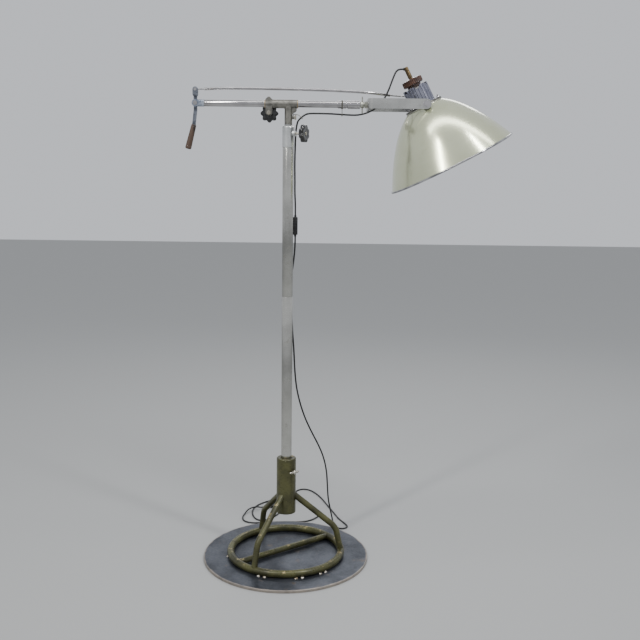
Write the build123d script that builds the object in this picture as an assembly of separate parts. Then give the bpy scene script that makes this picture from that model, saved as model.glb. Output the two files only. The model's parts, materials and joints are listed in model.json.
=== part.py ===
from build123d import *
import os
from math import cos, pi, radians, sin, sqrt, tan

# Adjustable-arm floor lamp. Millimetres, +Z up, +X along the arm towards the shade.
# The origin is the centre of the base plate's underside, on the floor.

# Base
PLATE_RADIUS = 300
PLATE_THICKNESS = 10
RING_RADIUS = 202
RING_TUBE_RADIUS = 13
RING_Z = PLATE_THICKNESS + RING_TUBE_RADIUS + 0.2
CROSSBAR_RADIUS = 11
CROSSBAR_ENDS = ((-164, -113), (152, 130))
LEG_RADIUS = 11
LEG_BORE_RADIUS = 9
LEG_AZIMUTHS = {"leg_right": 0, "leg_back_left": 120, "leg_front_left": 239}
LEG_PATH = ((22, 243), (182, 114), (RING_RADIUS, RING_Z))
LEG_BEND_RADIUS = 60
WELD_AZIMUTHS = (246, 252, 282, 288, 307, 313, 20, 80, 140, 190)
HUB_RADIUS = 35
HUB_Z = (172, 378)
HUB_SCREW_Z = 333
HUB_SCREW_AZIMUTH = -50

# Mast and the post that slides in it
MAST_RADIUS = 19
MAST_BORE_RADIUS = 16
MAST_BOTTOM_Z = 190
MAST_JOINT_Z = 966
MAST_TOP_Z = 1480
COLLAR_RADIUS = 20.5
COLLAR_TOP_Z = 1551
POST_RADIUS = 13.5
POST_BORE_RADIUS = 10
POST_Z = (1080, 1540)
POST_SHOULDER_Z = 1555.7
SPIGOT_RADIUS = 9
SPIGOT_TOP_Z = 1602
MAST_KNOB_Z = 1526
MAST_KNOB_AZIMUTH = -25
RUNNING_FIT = 0.05
FIXED_GAP = 0.02
WIRE_RADIUS = 1.2
EYE_RADIUS = 5

# Arm and tee clamp
ARM_Z = 1624
ARM_RADIUS = 11
ARM_BORE_RADIUS = 9
ARM_X = (-286, 236)
TEE_SLEEVE_X = (-78, 30)
TEE_SLEEVE_RADIUS = 14.5
LINER_RADIUS = 12.2
TEE_STEM_RADIUS = 13
TEE_STEM_BOTTOM_Z = 1556
CLAMP_BOLT = (-66, ARM_Z - 30)
THUMB_SCREW_Z = 1580
KNOB_RADIUS = 31
KNOB_THICKNESS = 16
KNOB_LOBES = 8

# Control lever, rod and their pins. The lever's crank is 4/3 of the head's crank.
LEVER_PIVOT_X = -315
LEVER_CRANK = 45
HEAD_CRANK = 33.75
LEVER_WIDTH = 12
LEVER_THICKNESS = 6
GRIP_LENGTH = 84
LEVER_BEND = (LEVER_PIVOT_X, -24)
GRIP_TOP = (-321, -72)
GRIP_SLANT = 14.7
PIVOT_BOLT_RADIUS = 4
CRANK_PIN_RADIUS = 3.5
CRANK_EYE_CLEARANCE = 1.8
ROD_RADIUS = 4.5
ROD_BORE_RADIUS = 2.3
ROD_STUD_RADIUS = 2.25
CRANK_Y = 57
CRANK_ARM_Y = 73

# Yoke and head
YOKE_WEB_X = 266
YOKE_THICKNESS = 4
YOKE_HEIGHT = 33
YOKE_OUTER_Y = 90
YOKE_BEND = 18
HEAD_X = 458
HEAD_TILT = 27.5
PIVOT_TO_COLLAR = 5
SHADE_TOP_RADIUS = 65
SHADE_RIM_RADIUS = 223
SHADE_CURVE = 217
SHADE_DEPTH = (SHADE_RIM_RADIUS**2 - SHADE_TOP_RADIUS**2) / SHADE_CURVE
CASTING_RADIUS = 43.5
CASTING_TOP = 74
CAP_RADIUS = 35
CAP_SPAN = (81, 102)
STEM_RADIUS = 7.5
STEM_TOP = 146
GLAND_BACK = 6

# Flexible cord
CORD_RADIUS = 3
FLOOR_Z = CORD_RADIUS + 0.1
HUMP_Z = 15.5
SLIDER_OFFSET = 2
ARM_CLIP = (182, 0, 1591.5)
CORD_MIDDLE = (90, 0, 1594)
TEE_CLIP = (44, 0, 1580)
SWITCH_X, SWITCH_Y, SWITCH_Z = 25.5, 18, 1212
SWITCH_SIZE = (17, 13, 62)
SWITCH_NECK = 6
PLUG_ENTRY = (-99, 458)
PLUG_HEADING = 23.2
PLUG_SIZE = (35, 35, 14)
PLUG_NECK = 22
PLUG_Z = PLUG_SIZE[2] / 2 + 0.1

HEAD_PLANE = Plane(
    origin=(HEAD_X, 0, ARM_Z),
    x_dir=(cos(radians(HEAD_TILT)), 0, sin(radians(HEAD_TILT))),
    z_dir=(-sin(radians(HEAD_TILT)), 0, cos(radians(HEAD_TILT))),
)


# Helpers

def cylinder(start, end, radius):
    """A solid round bar from one point to another."""
    axis = Vector(*end) - Vector(*start)
    bar = Cylinder(radius, axis.length, align=(Align.CENTER, Align.CENTER, Align.MIN))
    return Plane(origin=start, z_dir=axis) * bar


def pipe(start, end, radius, bore):
    """A round tube from one point to another."""
    axis = (Vector(*end) - Vector(*start)).normalized()
    return cylinder(start, end, radius) - cylinder(
        Vector(*start) - axis, Vector(*end) + axis, bore
    )


def along_arm(x_start, x_end, radius, bore=None):
    """A bar or a tube on the arm's axis."""
    start, end = (x_start, 0, ARM_Z), (x_end, 0, ARM_Z)
    return pipe(start, end, radius, bore) if bore else cylinder(start, end, radius)


def upright(z_start, z_end, radius, bore=None):
    """A bar or a tube on the mast's axis."""
    start, end = (0, 0, z_start), (0, 0, z_end)
    return pipe(start, end, radius, bore) if bore else cylinder(start, end, radius)


def polar(radius, azimuth, z):
    """A point at a distance and a direction from the mast's axis."""
    return (radius * cos(radians(azimuth)), radius * sin(radians(azimuth)), z)


def hexagon(start, end, across_flats):
    """A hexagonal bar from one point to another."""
    axis = Vector(*end) - Vector(*start)
    plane = Plane(origin=start, z_dir=axis)
    return extrude(plane * RegularPolygon(across_flats / sqrt(3), 6), axis.length)


def revolved(profile):
    """A round piece from its (radius, height) outline."""
    return revolve(make_face(Polyline(*[(r, 0, z) for r, z in profile], close=True)), Axis.Z)


def group(*solids):
    """Separate solids that share one node."""
    return Compound(children=[s if isinstance(s, Solid) else s.solid() for s in solids])


def corner_radii(points):
    """The largest arc that each corner's two runs allow."""
    radii = []
    for before, corner, after in zip(points, points[1:], points[2:]):
        run_in = Vector(*corner) - Vector(*before)
        run_out = Vector(*after) - Vector(*corner)
        half_turn = radians(run_in.get_angle(run_out)) / 2
        radii.append(0.45 * min(run_in.length, run_out.length) / tan(half_turn))
    return radii


def smooth_path(points):
    """Straight runs joined by tangent arcs."""
    return FilletPolyline(*points, radius=corner_radii(points))


def swept_bar(points, radius, bore=None):
    """A round bar or tube that follows a smooth path."""
    path = smooth_path(points)
    section = Circle(radius)
    if bore:
        section -= Circle(bore)
    return sweep(Plane(origin=path @ 0, z_dir=path % 0) * section, path=path)


def cord(name, points):
    """A length of cord, with its smallest radius and its volume printed."""
    tube = swept_bar(points, CORD_RADIUS)
    path = smooth_path(points)
    expected = pi * CORD_RADIUS**2 * path.length
    runs = [(Vector(*b) - Vector(*a)).length for a, b in zip(points, points[1:])]
    ratios = [max(a, b) / min(a, b) for a, b in zip(runs, runs[1:])]
    print(
        f"{name}: length {path.length:.0f}, radii {[round(r) for r in corner_radii(points)]}, "
        f"longest run {max(runs):.0f}, largest ratio {max(ratios):.2f}, "
        f"volume ratio {tube.volume / expected:.4f}"
    )
    return tube


# Base

def base_plate():
    plate = upright(0, PLATE_THICKNESS, PLATE_RADIUS)
    return chamfer(plate.edges().group_by(Axis.Z)[-1], 1.2)


def base_ring():
    return Pos(0, 0, RING_Z) * Torus(RING_RADIUS, RING_TUBE_RADIUS)


def ring_crossbar():
    (x0, y0), (x1, y1) = CROSSBAR_ENDS
    bar = cylinder((x0, y0, RING_Z), (x1, y1, RING_Z), CROSSBAR_RADIUS)
    return (bar - base_ring()).solids().sort_by(SortBy.VOLUME)[-1]


def leg(azimuth):
    """A tube that slopes from the hub and bends down on to the ring."""
    (r0, z0), (r1, z1), (r2, z2) = LEG_PATH
    path = FilletPolyline((r0, 0, z0), (r1, 0, z1), (r2, 0, z2), radius=LEG_BEND_RADIUS)
    section = Circle(LEG_RADIUS) - Circle(LEG_BORE_RADIUS)
    tube = sweep(Plane(origin=path @ 0, z_dir=path % 0) * section, path=path)
    hub = upright(HUB_Z[0] - 10, HUB_Z[1], HUB_RADIUS)
    cut = Rot(0, 0, azimuth) * tube - hub - base_ring()
    return cut.solids().sort_by(SortBy.VOLUME)[-1]


def hub_socket():
    hub = upright(HUB_Z[0], HUB_Z[1], HUB_RADIUS, MAST_RADIUS + RUNNING_FIT)
    hub = chamfer(hub.edges().group_by(Axis.Z)[-1], 2.5)
    return hub - cylinder(
        polar(10, HUB_SCREW_AZIMUTH, HUB_SCREW_Z),
        polar(50, HUB_SCREW_AZIMUTH, HUB_SCREW_Z),
        4 + RUNNING_FIT,
    )


def ring_weld_tacks():
    """Short weld beads that hold the ring on the plate."""
    tacks = []
    for azimuth in WELD_AZIMUTHS:
        x, y, z = polar(RING_RADIUS + 11, azimuth, PLATE_THICKNESS)
        bead = Rot(0, 0, azimuth + 90) * (Rot(0, 90, 0) * Cylinder(5, 16))
        bead = Pos(x, y, z) * bead - Pos(0, 0, PLATE_THICKNESS - 10) * Box(900, 900, 20)
        tacks.append(bead)
    return group(*tacks)


def hub_wing_screw():
    tip = polar(MAST_RADIUS + 0.3, HUB_SCREW_AZIMUTH, HUB_SCREW_Z)
    shoulder = polar(HUB_RADIUS + 2, HUB_SCREW_AZIMUTH, HUB_SCREW_Z)
    end = polar(HUB_RADIUS + 18, HUB_SCREW_AZIMUTH, HUB_SCREW_Z)
    middle = Pos(*polar(HUB_RADIUS + 11, HUB_SCREW_AZIMUTH, HUB_SCREW_Z))
    across = Rot(0, 0, HUB_SCREW_AZIMUTH) * (Rot(90, 0, 0) * Cylinder(3.2, 38))
    return cylinder(tip, end, 4) + cylinder(shoulder, end, 7.5) + middle * across


# Mast and post

def mast_lower_tube():
    return upright(MAST_BOTTOM_Z, MAST_JOINT_Z - 0.2, MAST_RADIUS, MAST_BORE_RADIUS)


def mast_upper_tube():
    return upright(MAST_JOINT_Z + 0.2, MAST_TOP_Z, MAST_RADIUS, MAST_BORE_RADIUS)


def mast_joiner():
    return upright(
        MAST_JOINT_Z - 66, MAST_JOINT_Z + 64, MAST_BORE_RADIUS - FIXED_GAP, 13.8
    )


def mast_top_collar():
    collar = upright(MAST_TOP_Z + 0.1, COLLAR_TOP_Z, COLLAR_RADIUS)
    collar = fillet(collar.edges().group_by(Axis.Z)[-1], 5)
    collar += upright(MAST_TOP_Z - 30, MAST_TOP_Z + 5, MAST_BORE_RADIUS - FIXED_GAP)
    collar += cylinder(
        polar(12, MAST_KNOB_AZIMUTH, MAST_KNOB_Z), polar(28, MAST_KNOB_AZIMUTH, MAST_KNOB_Z), 9
    )
    collar -= upright(MAST_TOP_Z - 40, COLLAR_TOP_Z + 1, POST_RADIUS + RUNNING_FIT)
    return collar - cylinder(
        polar(5, MAST_KNOB_AZIMUTH, MAST_KNOB_Z),
        polar(40, MAST_KNOB_AZIMUTH, MAST_KNOB_Z),
        4 + RUNNING_FIT,
    )


def star_knob():
    """An eight-lobed knob on +Z, from height 0, with a neck below it."""
    outline = Circle(KNOB_RADIUS - 6)
    for i in range(KNOB_LOBES):
        angle = 2 * pi * (i + 0.5) / KNOB_LOBES
        lobe = Pos((KNOB_RADIUS - 6) * cos(angle), (KNOB_RADIUS - 6) * sin(angle)) * Circle(6)
        outline += lobe
    knob = extrude(outline, KNOB_THICKNESS)
    return knob + Pos(0, 0, -4) * Cylinder(11, 9)


def mast_star_knob():
    start = polar(52, MAST_KNOB_AZIMUTH, MAST_KNOB_Z)
    plane = Plane(origin=start, z_dir=polar(1, MAST_KNOB_AZIMUTH, 0), x_dir=(0, 0, 1))
    screw = cylinder(
        polar(POST_RADIUS + 0.3, MAST_KNOB_AZIMUTH, MAST_KNOB_Z),
        polar(55, MAST_KNOB_AZIMUTH, MAST_KNOB_Z),
        4,
    )
    return plane * star_knob() + screw


def inner_post():
    return upright(POST_Z[0], POST_Z[1], POST_RADIUS, POST_BORE_RADIUS)


def post_spigot():
    """The turned top of the post, on which the tee clamp turns."""
    spigot = upright(POST_Z[1] - 40, POST_Z[1] + 1, POST_BORE_RADIUS - FIXED_GAP)
    spigot += upright(POST_Z[1], POST_SHOULDER_Z, POST_RADIUS)
    return spigot + upright(POST_SHOULDER_Z - 1, SPIGOT_TOP_Z, SPIGOT_RADIUS)


def post_guide():
    return upright(
        POST_Z[0],
        POST_Z[0] + 30,
        MAST_BORE_RADIUS - RUNNING_FIT,
        POST_RADIUS + FIXED_GAP,
    )


# Tee clamp

def tee_clamp():
    tee = along_arm(TEE_SLEEVE_X[0], TEE_SLEEVE_X[1], TEE_SLEEVE_RADIUS)
    stem = upright(TEE_STEM_BOTTOM_Z, ARM_Z - 2, TEE_STEM_RADIUS)
    web = [(-17, -12), (-13, -18), (13, -40), (15, -33), (19, -29), (24, -27), (28, -22), (28, -10)]
    gusset = make_face(Polyline(*[(x, 0, ARM_Z + z) for x, z in web], close=True))
    tee += stem + extrude(gusset, 6, both=True)
    lug = Pos(CLAMP_BOLT[0], 0, ARM_Z - 7) * Box(22, 26, 60)
    lug = chamfer(lug.edges().filter_by(Axis.Y).group_by(Axis.Z)[-1], 8)
    lug = fillet(lug.edges().filter_by(Axis.Y).group_by(Axis.Z)[0], 8)
    boss = cylinder((6, 0, THUMB_SCREW_Z), (16, 0, THUMB_SCREW_Z), 6)
    tee += lug + boss
    tee -= along_arm(TEE_SLEEVE_X[0] - 9, TEE_SLEEVE_X[1] + 9, LINER_RADIUS + RUNNING_FIT)
    tee -= upright(TEE_STEM_BOTTOM_Z - 1, SPIGOT_TOP_Z + 3, SPIGOT_RADIUS + RUNNING_FIT)
    tee -= cylinder((4, 0, THUMB_SCREW_Z), (20, 0, THUMB_SCREW_Z), 3 + RUNNING_FIT)
    x, z = CLAMP_BOLT
    tee -= cylinder((x, -30, z), (x, 30, z), PIVOT_BOLT_RADIUS + FIXED_GAP)
    slit = Pos(TEE_SLEEVE_X[0] + 12, 0, ARM_Z - 26) * Box(26, 2, 28)
    return (tee - slit).solid()


def arm_liner():
    """The split bush in which the arm slides, and which rolls in the tee clamp."""
    liner = along_arm(TEE_SLEEVE_X[0] - 2.5, TEE_SLEEVE_X[1] + 2.5, LINER_RADIUS)
    liner += along_arm(TEE_SLEEVE_X[0] - 2.5, TEE_SLEEVE_X[0] - 0.3, TEE_SLEEVE_RADIUS - 0.5)
    liner += along_arm(TEE_SLEEVE_X[1] + 0.3, TEE_SLEEVE_X[1] + 2.5, TEE_SLEEVE_RADIUS - 0.5)
    liner -= along_arm(TEE_SLEEVE_X[0] - 9, TEE_SLEEVE_X[1] + 9, ARM_RADIUS + RUNNING_FIT)
    return (liner - Pos(-24, 0, ARM_Z - 12) * Box(130, 1.5, 10)).solid()


def arm_clamp_bolt():
    x, z = CLAMP_BOLT
    return cylinder((x, -14, z), (x, 24, z), PIVOT_BOLT_RADIUS) + hexagon(
        (x, -19, z), (x, -13.3, z), 13
    )


def arm_star_knob():
    x, z = CLAMP_BOLT
    plane = Plane(origin=(x, 24, z), z_dir=(0, 1, 0), x_dir=(0, 0, 1))
    bore = cylinder((x, 10, z), (x, 25, z), PIVOT_BOLT_RADIUS + RUNNING_FIT)
    return plane * Rot(0, 0, 22.5) * star_knob() - bore


def tee_thumb_screw():
    z = THUMB_SCREW_Z
    screw = cylinder((SPIGOT_RADIUS + 0.3, 0, z), (26, 0, z), 3)
    return screw + cylinder((18.6, 0, z), (21.5, 0, z), 5) + Pos(24, 0, z) * Box(6, 3.4, 16)


def cord_eye(centre, axis):
    """A wire eye that the cord runs through."""
    return Plane(origin=centre, z_dir=axis) * Torus(EYE_RADIUS, WIRE_RADIUS + 0.3)


def wire(points):
    """Bent wire, with a ball at each bend."""
    bent = Pos(*points[0]) * Sphere(WIRE_RADIUS)
    for start, end in zip(points, points[1:]):
        bent += cylinder(start, end, WIRE_RADIUS) + Pos(*end) * Sphere(WIRE_RADIUS)
    return bent


def tee_cable_clip():
    """A wire that is held under the thumb screw and ends in the cord's eye."""
    z = THUMB_SCREW_Z
    band = pipe((16.2, 0, z), (18.4, 0, z), 5.5, 3.2)
    arm = wire([(17.3, 0, z + 5), (17.3, 0, z + 10), (33, 0, z + 9), (40.9, 0, z + 3.9)])
    return band + arm + cord_eye(TEE_CLIP, (13, -1, 10.5))


# Arm

def arm_tube():
    return along_arm(ARM_X[0], ARM_X[1], ARM_RADIUS, ARM_BORE_RADIUS)


def arm_end_fork():
    cheek = along_arm(LEVER_PIVOT_X, ARM_X[0], 12)
    block = Pos((LEVER_PIVOT_X + ARM_X[0]) / 2, 0, ARM_Z) * Box(29, 20, 24)
    nose = cylinder((LEVER_PIVOT_X, -10, ARM_Z), (LEVER_PIVOT_X, 10, ARM_Z), 12)
    fork = (block & cheek) + nose
    fork += along_arm(ARM_X[0] - 1, ARM_X[0] + 36, ARM_BORE_RADIUS - FIXED_GAP)
    fork -= Pos(LEVER_PIVOT_X + 4, 0, ARM_Z) * Box(40, LEVER_THICKNESS + 0.6, 30)
    hole = PIVOT_BOLT_RADIUS + FIXED_GAP
    return fork - cylinder((LEVER_PIVOT_X, -15, ARM_Z), (LEVER_PIVOT_X, 15, ARM_Z), hole)


def lever_pivot_bolt():
    x = LEVER_PIVOT_X
    bolt = cylinder((x, -11, ARM_Z), (x, 17, ARM_Z), PIVOT_BOLT_RADIUS)
    head = cylinder((x, -15, ARM_Z), (x, -10.1, ARM_Z), 7.5)
    return bolt + head + hexagon((x, 10.1, ARM_Z), (x, 15.5, ARM_Z), 13)


def arm_ferrule_inner():
    return along_arm(168, 196, 12.9, ARM_RADIUS + FIXED_GAP)


def arm_ferrule_outer():
    cap = along_arm(200, 243, 14)
    cap = chamfer(cap.edges().group_by(Axis.X)[0], 1.5)
    cap -= along_arm(199, ARM_X[1] + 0.3, ARM_RADIUS + FIXED_GAP)
    return cap - along_arm(230, 250, 6 + FIXED_GAP)


def yoke_stud():
    """The threaded stud that carries the yoke, with its collar and its end nut."""
    stud = along_arm(224, 279, 6)
    stud += along_arm(218, 228, ARM_BORE_RADIUS - FIXED_GAP)
    stud += hexagon((258, 0, ARM_Z), (YOKE_WEB_X - 0.1, 0, ARM_Z), 19)
    web_end = YOKE_WEB_X + YOKE_THICKNESS
    return stud + hexagon((web_end + 0.1, 0, ARM_Z), (web_end + 7, 0, ARM_Z), 19)


def tommy_nut():
    nut = along_arm(244, 256, 10.5, 6 + RUNNING_FIT)
    bar = cylinder((250, 0, ARM_Z - 27), (250, 0, ARM_Z + 27), 2.3)
    return nut + (bar - along_arm(244, 256, 9))


def arm_cable_clip():
    """A band round the inner ferrule, from which the cord's eye hangs on a wire."""
    x, _, z = ARM_CLIP
    band = along_arm(x - 3, x + 3, 14.6, 12.95)
    return band + wire([(x, 0, ARM_Z - 14.4), (x, 0, z + EYE_RADIUS)]) + cord_eye(ARM_CLIP, (1, 0, -0.06))


# Lever and rod

def along_xz(points, y_start, y_end, radius):
    """A flat bar with round ends, through points in the plane of the arm."""
    bars = []
    for (x0, z0), (x1, z1) in zip(points, points[1:]):
        start, end = Vector(x0, y_start, z0), Vector(x1, y_start, z1)
        run = end - start
        plane = Plane(origin=(start + end) * 0.5, x_dir=run, z_dir=(0, 1, 0))
        bars.append(extrude(plane * SlotCenterToCenter(run.length, 2 * radius), y_end - y_start))
    whole = bars[0]
    for bar in bars[1:]:
        whole += bar
    return whole


def grip_point(distance):
    """A point on the grip's axis, at a distance below its top."""
    x = GRIP_TOP[0] - distance * sin(radians(GRIP_SLANT))
    return (x, 0, ARM_Z + GRIP_TOP[1] - distance * cos(radians(GRIP_SLANT)))


def tilt_lever():
    half = LEVER_THICKNESS / 2
    top = ARM_Z + LEVER_CRANK
    points = [(LEVER_PIVOT_X, ARM_Z + 26)]
    points += [(LEVER_BEND[0], ARM_Z + LEVER_BEND[1]), (GRIP_TOP[0], ARM_Z + GRIP_TOP[1])]
    lever = along_xz(points, -half, half, LEVER_WIDTH / 2)
    lever += cylinder(grip_point(-4), grip_point(GRIP_LENGTH - 10), 2.9)
    clevis = along_xz([(LEVER_PIVOT_X, ARM_Z + 29), (LEVER_PIVOT_X, top)], -7, 7, 9)
    lever += clevis - Pos(LEVER_PIVOT_X, 0, top + 2) * Box(40, LEVER_THICKNESS + 0.4, 30)
    pivot = cylinder(
        (LEVER_PIVOT_X, -9, ARM_Z), (LEVER_PIVOT_X, 9, ARM_Z), PIVOT_BOLT_RADIUS + RUNNING_FIT
    )
    pin = cylinder((LEVER_PIVOT_X, -9, top), (LEVER_PIVOT_X, 9, top), 2.5 + FIXED_GAP)
    return (lever - pivot - pin).solid()


def lever_grip():
    length = GRIP_LENGTH
    outline = [(3, 0), (7.5, 0), (8.5, 1.5), (10.6, length - 4), (8.5, length - 0.5), (6, length)]
    outline += [(0, length), (0, length - 8), (3, length - 8)]
    plane = Plane(
        origin=grip_point(0),
        z_dir=Vector(*grip_point(1)) - Vector(*grip_point(0)),
        x_dir=(0, 1, 0),
    )
    grip = plane * revolved(outline)
    half = LEVER_THICKNESS / 2
    points = [(LEVER_BEND[0], ARM_Z + LEVER_BEND[1]), (GRIP_TOP[0], ARM_Z + GRIP_TOP[1])]
    return (grip - along_xz(points, -half, half, LEVER_WIDTH / 2 + FIXED_GAP)).solid()


def rod_pin():
    top = ARM_Z + LEVER_CRANK
    x = LEVER_PIVOT_X
    pin = cylinder((x, -8, top), (x, 8, top), 2.5)
    return pin + cylinder((x, -9.5, top), (x, -7.1, top), 5) + cylinder((x, 7.1, top), (x, 8.6, top), 5)


ROD_TUBE_PATH = [
    (-284, 0, 46.4),
    (-235, 0, 49.04),
    (-120, 0, 50.2),
    (0, 0, 49.2),
    (130, 0, 46.8),
    (225, 0, 43.2),
    (290, 10, 40),
    (345, 41, 36),
]
ROD_HEAD_PATH = [(345, 41, 36), (385, CRANK_Y - 1, 34), (415, CRANK_Y, 33.75), (450, CRANK_Y, 33.7)]


def above_arm(points):
    return [(x, y, ARM_Z + z) for x, y, z in points]


def tilt_rod():
    return swept_bar(above_arm(ROD_TUBE_PATH), ROD_RADIUS, ROD_BORE_RADIUS)


def rod_lever_stud():
    """The short end of the rod, with the eye on the lever's pin."""
    top = ARM_Z + LEVER_CRANK
    half = LEVER_THICKNESS / 2
    x = LEVER_PIVOT_X
    eye = pipe((x, -half, top), (x, half, top), 7, 2.5 + RUNNING_FIT)
    start = Vector(*above_arm(ROD_TUBE_PATH)[0])
    heading = (Vector(*above_arm(ROD_TUBE_PATH)[1]) - start).normalized()
    stud = cylinder((x + 5, 0, top), start + heading * 14, ROD_STUD_RADIUS)
    return eye + stud


def rod_head_stud():
    """The thin end of the rod, with the oversize eye on the head's crank pin."""
    points = above_arm(ROD_TUBE_PATH)
    end = Vector(*points[-1])
    heading = (end - Vector(*points[-2])).normalized()
    path = above_arm(ROD_HEAD_PATH)
    stud = swept_bar(path, ROD_STUD_RADIUS)
    stud += cylinder(end - heading * 14, end, ROD_STUD_RADIUS)
    stud += Pos(*end) * Sphere(ROD_STUD_RADIUS)
    bore = CRANK_PIN_RADIUS + CRANK_EYE_CLEARANCE
    z = ARM_Z + HEAD_CRANK
    stud += cylinder((HEAD_X, CRANK_Y - 3, z), (HEAD_X, CRANK_Y + 3, z), bore + 4)
    return (stud - cylinder((HEAD_X, 40, z), (HEAD_X, 70, z), bore)).solid()


def rod_end_studs():
    return group(rod_lever_stud(), rod_head_stud())


# Yoke

def yoke():
    """A flat strap bent into a U, with round ends."""
    length, width = 400, 2 * YOKE_OUTER_Y
    outside = Pos(YOKE_WEB_X + length / 2, 0) * RectangleRounded(length, width, YOKE_BEND)
    inside = Pos(YOKE_WEB_X + YOKE_THICKNESS + length / 2, 0) * RectangleRounded(
        length, width - 2 * YOKE_THICKNESS, YOKE_BEND - YOKE_THICKNESS
    )
    strap = Pos(0, 0, ARM_Z - YOKE_HEIGHT / 2) * extrude(outside - inside, YOKE_HEIGHT)
    side = Pos((YOKE_WEB_X + HEAD_X) / 2 - 5, 0, ARM_Z) * Box(
        HEAD_X - YOKE_WEB_X + 10, 2 * YOKE_OUTER_Y + 2, YOKE_HEIGHT
    )
    round_end = cylinder((HEAD_X, -95, ARM_Z), (HEAD_X, 95, ARM_Z), YOKE_HEIGHT / 2)
    strap = strap & (side + round_end)
    strap -= cylinder((HEAD_X, -95, ARM_Z), (HEAD_X, 95, ARM_Z), 5 + RUNNING_FIT)
    return (strap - along_arm(YOKE_WEB_X - 5, YOKE_WEB_X + 9, 6 + FIXED_GAP)).solid()


def yoke_pivot_bolts():
    bolts = []
    for side in (-1, 1):
        y_out = side * (YOKE_OUTER_Y + 0.3)
        bolt = cylinder((HEAD_X, side * 73.5, ARM_Z), (HEAD_X, y_out, ARM_Z), 5)
        bolt += cylinder((HEAD_X, y_out, ARM_Z), (HEAD_X, y_out + side * 1.8, ARM_Z), 12)
        head_start = (HEAD_X, y_out + side * 1.5, ARM_Z)
        bolt += hexagon(head_start, (HEAD_X, y_out + side * 7.5, ARM_Z), 15)
        bolts.append(bolt)
    return group(*bolts)


# Head: local +Z runs up the neck from the tilt axis, local +X to the upper side

def on_head(shape):
    return HEAD_PLANE * shape


def height(above_collar):
    """A local height, from a height above the collar's plane."""
    return above_collar - PIVOT_TO_COLLAR


def local_ring(low, high, radius, bore=None):
    """A disc or ring on the head's axis, between two heights above the collar."""
    start, end = (0, 0, height(low)), (0, 0, height(high))
    return pipe(start, end, radius, bore) if bore else cylinder(start, end, radius)


def pivot_bracket():
    """The ring plate with two lugs for the yoke and the crank for the rod."""
    bracket = local_ring(2.6, 8, 65, 46)
    for side in (-1, 1):
        bracket += Pos(0, side * 67, height(5.3)) * Box(26, 16, 5.4)
        lug = Pos(0, side * 79.35, 0) * Box(24, 12.7, 16)
        bracket += fillet(lug.edges().filter_by(Axis.Y), 5)
        bracket -= cylinder((0, side * 60, 0), (0, side * 90, 0), 5 + FIXED_GAP)
    for x, y in wing_nut_places():
        bracket -= cylinder((x, y, -20), (x, y, 20), 2.6)
    pin_end = crank_point(0)
    x, z = pin_end[0], pin_end[2]
    run = sqrt(x * x + z * z)
    plane = Plane(origin=(x / 2, CRANK_ARM_Y, z / 2), x_dir=(x, 0, z), z_dir=(0, 1, 0))
    crank = extrude(plane * SlotCenterToCenter(run, 16), 5)
    crank -= cylinder((0, 60, 0), (0, 90, 0), 5 + FIXED_GAP)
    crank -= cylinder((x, 60, z), (x, 90, z), CRANK_PIN_RADIUS + FIXED_GAP)
    return on_head(bracket + crank)


def crank_point(y):
    """The crank pin's centre in the head's own frame."""
    tilt = radians(HEAD_TILT)
    return (HEAD_CRANK * sin(tilt), y, HEAD_CRANK * cos(tilt))


def wing_nut_places():
    return [polar(56, azimuth, 0)[:2] for azimuth in (0, 140, 220)]


def crank_pin():
    start, end = crank_point(50.5), crank_point(CRANK_ARM_Y + 5.5)
    pin = cylinder(start, end, CRANK_PIN_RADIUS)
    pin += cylinder(start, crank_point(52.6), 7.5)
    return on_head(pin + cylinder(crank_point(61.5), crank_point(CRANK_ARM_Y - 0.1), 7))


def collar_plate():
    plate = local_ring(0.1, 2.5, SHADE_TOP_RADIUS, 30)
    for x, y in wing_nut_places():
        plate -= cylinder((x, y, -20), (x, y, 20), 2.6)
    return on_head(plate)


def shade_wing_nuts():
    """Studs through the shade's flange, with wing nuts on top."""
    nuts = []
    for x, y in wing_nut_places():
        nut = cylinder((x, y, height(-5)), (x, y, height(15)), 2.5)
        nut += cylinder((x, y, height(-4.5)), (x, y, height(-1.6)), 5)
        nut += cylinder((x, y, height(8.1)), (x, y, height(14)), 5)
        wings = Pos(x, y, height(15.5)) * Box(2.6, 19, 9)
        wings -= Pos(x, y, height(20)) * Box(4, 6, 8)
        nuts.append(nut + wings)
    return on_head(group(*nuts))


def shade():
    """A thin spun bowl, parabolic outside and inside, with a flange at its top."""
    top, rim, depth = SHADE_TOP_RADIUS, SHADE_RIM_RADIUS, SHADE_DEPTH
    middle = (top + rim) / 2
    middle_depth = 2 * top / SHADE_CURVE * (middle - top)
    outer = Bezier((top, 0, 0), (middle, 0, -middle_depth), (rim, 0, -depth))
    inner = Bezier((rim - 1.6, 0, -depth), (middle - 1, 0, -middle_depth - 1.2), (top - 0.6, 0, -1.4))
    edges = [
        outer,
        Line((rim, 0, -depth), (rim - 1.6, 0, -depth)),
        inner,
        Line((top - 0.6, 0, -1.4), (50, 0, -1.4)),
        Line((50, 0, -1.4), (50, 0, 0)),
        Line((50, 0, 0), (top, 0, 0)),
    ]
    bowl = revolve(make_face(edges), Axis.Z)
    for x, y in wing_nut_places():
        bowl -= cylinder((x, y, -6), (x, y, 6), 2.6)
    return on_head(Pos(0, 0, -PIVOT_TO_COLLAR) * bowl)


def shade_rim():
    bead = Torus(SHADE_RIM_RADIUS - 0.4, 3.4)
    return on_head(Pos(0, 0, height(-SHADE_DEPTH)) * bead)


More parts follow.
